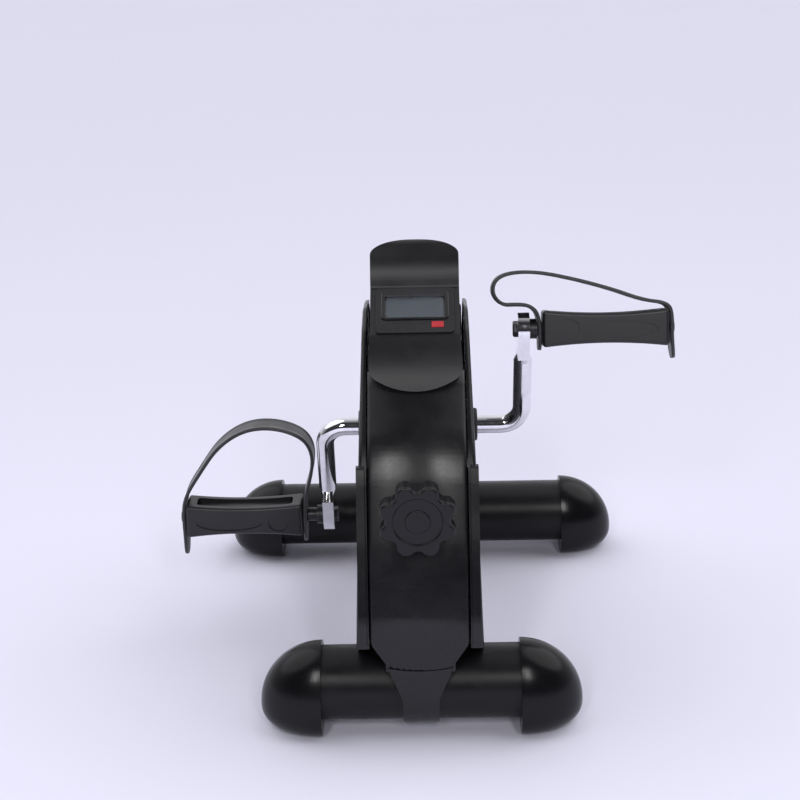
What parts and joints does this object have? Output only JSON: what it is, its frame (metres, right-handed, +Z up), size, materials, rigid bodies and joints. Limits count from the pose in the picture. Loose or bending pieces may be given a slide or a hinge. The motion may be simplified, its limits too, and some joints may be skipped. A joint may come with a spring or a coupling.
{
  "type": "pedal exerciser",
  "caption": "Floor-standing pedal exerciser: strapped pedals on a bent crank through a covered steel frame, tension knob, small battery display.",
  "frame": {"origin": "on the floor, midway between the two foot tubes", "axes": "+X along the foot tubes to the right seen from the knob side, +Y from the knob to the back, +Z up"},
  "size_m": [0.3596, 0.329, 0.3076],
  "materials": {
    "cover_plastic": "fine grained black ABS",
    "console_plastic": "smooth satin black ABS",
    "bezel_plastic": "semi-gloss black",
    "cap_plastic": "polished black PP",
    "tube_paint": "satin black powder coat",
    "frame_paint": "black painted sheet",
    "crank_chrome": "bright chrome plate",
    "steel": "zinc plated",
    "black_steel": "black oxide",
    "drum_iron": "machined rim",
    "pedal_plastic": "satin black PP",
    "strap_rubber": "soft black PVC",
    "knob_plastic": "satin black ABS",
    "bush_nylon": "natural nylon",
    "seal_rubber": "matt black",
    "pad_felt": "brown felt",
    "lcd_glass": "clear acrylic",
    "lcd_grey": "grey LCD",
    "button_red": "red",
    "board_green": "solder mask",
    "battery_shell": "printed sleeve",
    "lead_pvc": "PVC",
    "magnet_metal": "nickel plated"
  },
  "bodies": {
    "frame": {"battery": "battery_shell", "battery_cover": "console_plastic", "circuit_board": "board_green", "console_housing": "console_plastic", "display_bezel": "bezel_plastic", "display_case": "console_plastic", "foot_bolts": "steel", "foot_brackets": "frame_paint", "foot_nuts": "steel", "frame_spacers": "frame_paint", "front_cover": "cover_plastic", "front_foot_tube": "tube_paint", "front_left_foot_cap": "cap_plastic", "front_right_foot_cap": "cap_plastic", "front_saddle": "cover_plastic", "lcd_panel": "lcd_grey", "lcd_window": "lcd_glass", "left_cover_screws": "steel", "left_crank_bearing": "steel", "left_crank_seal": "seal_rubber", "left_frame_plate": "frame_paint", "left_side_cover": "cover_plastic", "rear_cover": "cover_plastic", "rear_foot_tube": "tube_paint", "rear_left_foot_cap": "cap_plastic", "rear_right_foot_cap": "cap_plastic", "rear_saddle": "cover_plastic", "right_cover_screws": "steel", "right_crank_bearing": "steel", "right_crank_seal": "seal_rubber", "right_frame_plate": "frame_paint", "right_side_cover": "cover_plastic", "sensor_lead": "lead_pvc", "shoe_guide": "frame_paint", "speed_sensor": "console_plastic", "thrust_bracket": "frame_paint", "under_cover": "cover_plastic"},
    "crank": {"crank_rod": "crank_chrome", "brake_drum": "drum_iron", "sensor_magnet": "magnet_metal", "left_pedal_spindle": "black_steel", "left_spindle_nut": "black_steel", "right_pedal_spindle": "black_steel", "right_spindle_nut": "black_steel"},
    "left_pedal_body": {"left_pedal": "pedal_plastic", "left_pedal_bush": "bush_nylon", "left_strap_stud": "pedal_plastic", "left_strap": "strap_rubber"},
    "right_pedal_body": {"right_pedal": "pedal_plastic", "right_pedal_bush": "bush_nylon", "right_strap_stud": "pedal_plastic", "right_strap": "strap_rubber"},
    "knob": {"tension_knob": "knob_plastic", "knob_cap": "knob_plastic", "tension_screw": "steel", "screw_clip": "steel"},
    "brake_shoe": {"shoe_carriage": "bush_nylon", "brake_pad": "pad_felt"},
    "button": {"mode_button": "button_red"}
  },
  "joints": [
    {"name": "crank_spin", "type": "hinge", "parent": "frame", "child": "crank", "pos_m": [0, 0, 0.163], "axis": [1, 0, 0], "continuous": true},
    {"name": "left_pedal_spin", "type": "hinge", "parent": "crank", "child": "left_pedal_body", "pos_m": [-0.13, 0.01649, 0.08543], "axis": [1, 0, 0], "continuous": true},
    {"name": "right_pedal_spin", "type": "hinge", "parent": "crank", "child": "right_pedal_body", "pos_m": [0.13, -0.01649, 0.24057], "axis": [1, 0, 0], "continuous": true, "deforming": ["right_strap"]},
    {"name": "knob_turn", "type": "hinge", "parent": "frame", "child": "knob", "pos_m": [0, -0.16, 0.161], "axis": [0, -1, 0], "range_deg": [-1080, 0]},
    {"name": "shoe_slide", "type": "slide", "parent": "frame", "child": "brake_shoe", "axis": [0, 1, 0], "range_m": [0, 0.00375]},
    {"name": "mode_button_press", "type": "slide", "parent": "frame", "child": "button", "axis": [0, 0.5665, -0.824], "range_m": [0, 0.0007], "stiffness_N_per_m": 400}
  ],
  "couplings": [
    {"joint": "shoe_slide", "follows": "knob_turn", "m_per_rad": -0.00019894}
  ]
}
